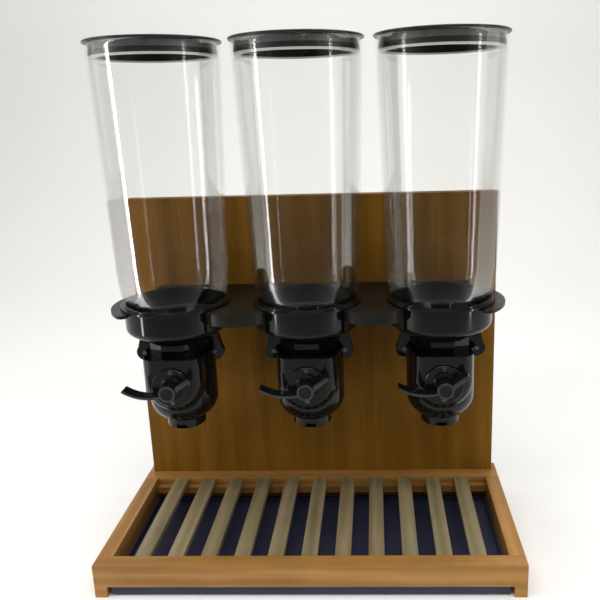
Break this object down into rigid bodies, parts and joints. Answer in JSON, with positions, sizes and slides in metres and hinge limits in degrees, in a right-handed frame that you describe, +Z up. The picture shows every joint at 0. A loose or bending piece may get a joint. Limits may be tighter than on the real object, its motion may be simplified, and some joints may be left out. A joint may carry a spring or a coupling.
{
  "type": "gravity food dispenser",
  "caption": "Countertop gravity dispenser for dry food: clear lidded containers on lever-turned heads, held by a bracket on a wooden board over a slatted base with a crumb tray.",
  "frame": {"origin": "middle of the base's underside, on the surface it stands on", "axes": "+X to the right seen from the front, +Y to the back, +Z up; the levers face -Y"},
  "size_m": [0.52, 0.235, 0.651],
  "materials": {
    "stained_wood": "satin, stained",
    "board_wood": "satin, stained veneer",
    "slat_wood": "satin",
    "grey_panel": "satin, slate grey",
    "steel_screws": "satin",
    "black_bracket": "satin",
    "black_gloss": "high gloss",
    "black_cover": "gloss",
    "black_screws": "black oxide",
    "white_plastic": "satin",
    "axle_plastic": "satin",
    "vane_rubber": "matte",
    "seal_rubber": "matte",
    "clear_plastic": "clear, glossy",
    "lid_black": "satin gloss"
  },
  "bodies": {
    "stand": {"front_rail": "stained_wood", "rear_rail": "stained_wood", "side_rails": "stained_wood", "slat_cleats": "stained_wood", "slats": "slat_wood", "bottom_panel": "grey_panel", "backboard": "board_wood", "board_screws": "steel_screws", "bracket": "black_bracket", "bracket_screws": "black_screws"},
    "crumb_tray": {"crumb_tray": "grey_panel"},
    "left_head": {"left_hopper": "black_gloss", "left_front_housing": "black_gloss", "left_rear_housing": "black_gloss", "left_cover": "black_cover", "left_spout": "black_gloss", "left_bush": "white_plastic", "left_head_screws": "black_screws", "left_container_seal": "seal_rubber"},
    "left_wheel": {"left_axle": "axle_plastic", "left_wheel_hub": "white_plastic", "left_vanes": "vane_rubber", "left_lever": "black_gloss", "left_lever_screw": "black_cover"},
    "left_container": {"left_container": "clear_plastic"},
    "left_lid": {"left_lid": "lid_black", "left_lid_seal": "seal_rubber"},
    "centre_head": {"centre_hopper": "black_gloss", "centre_front_housing": "black_gloss", "centre_rear_housing": "black_gloss", "centre_cover": "black_cover", "centre_spout": "black_gloss", "centre_bush": "white_plastic", "centre_head_screws": "black_screws", "centre_container_seal": "seal_rubber"},
    "centre_wheel": {"centre_axle": "axle_plastic", "centre_wheel_hub": "white_plastic", "centre_vanes": "vane_rubber", "centre_lever": "black_gloss", "centre_lever_screw": "black_cover"},
    "centre_container": {"centre_container": "clear_plastic"},
    "centre_lid": {"centre_lid": "lid_black", "centre_lid_seal": "seal_rubber"},
    "right_head": {"right_hopper": "black_gloss", "right_front_housing": "black_gloss", "right_rear_housing": "black_gloss", "right_cover": "black_cover", "right_spout": "black_gloss", "right_bush": "white_plastic", "right_head_screws": "black_screws", "right_container_seal": "seal_rubber"},
    "right_wheel": {"right_axle": "axle_plastic", "right_wheel_hub": "white_plastic", "right_vanes": "vane_rubber", "right_lever": "black_gloss", "right_lever_screw": "black_cover"},
    "right_container": {"right_container": "clear_plastic"},
    "right_lid": {"right_lid": "lid_black", "right_lid_seal": "seal_rubber"}
  },
  "joints": [
    {"name": "crumb_tray_slide", "type": "slide", "parent": "stand", "child": "crumb_tray", "axis": [0, -1, 0], "range_m": [0, 0.18]},
    {"name": "left_head_lift", "type": "slide", "parent": "stand", "child": "left_head", "axis": [0, 0, 1], "range_m": [0, 0.15]},
    {"name": "left_wheel_turn", "type": "hinge", "parent": "left_head", "child": "left_wheel", "pos_m": [-0.168, 0.012, 0.239], "axis": [0, 1, 0], "continuous": true},
    {"name": "left_container_lift", "type": "slide", "parent": "left_head", "child": "left_container", "axis": [0, 0, 1], "range_m": [0, 0.12]},
    {"name": "left_lid_lift", "type": "slide", "parent": "left_container", "child": "left_lid", "axis": [0, 0, 1], "range_m": [0, 0.08]},
    {"name": "centre_head_lift", "type": "slide", "parent": "stand", "child": "centre_head", "axis": [0, 0, 1], "range_m": [0, 0.15]},
    {"name": "centre_wheel_turn", "type": "hinge", "parent": "centre_head", "child": "centre_wheel", "pos_m": [0, 0.012, 0.239], "axis": [0, 1, 0], "continuous": true},
    {"name": "centre_container_lift", "type": "slide", "parent": "centre_head", "child": "centre_container", "axis": [0, 0, 1], "range_m": [0, 0.12]},
    {"name": "centre_lid_lift", "type": "slide", "parent": "centre_container", "child": "centre_lid", "axis": [0, 0, 1], "range_m": [0, 0.08]},
    {"name": "right_head_lift", "type": "slide", "parent": "stand", "child": "right_head", "axis": [0, 0, 1], "range_m": [0, 0.15]},
    {"name": "right_wheel_turn", "type": "hinge", "parent": "right_head", "child": "right_wheel", "pos_m": [0.168, 0.012, 0.239], "axis": [0, 1, 0], "continuous": true},
    {"name": "right_container_lift", "type": "slide", "parent": "right_head", "child": "right_container", "axis": [0, 0, 1], "range_m": [0, 0.12]},
    {"name": "right_lid_lift", "type": "slide", "parent": "right_container", "child": "right_lid", "axis": [0, 0, 1], "range_m": [0, 0.08]}
  ]
}
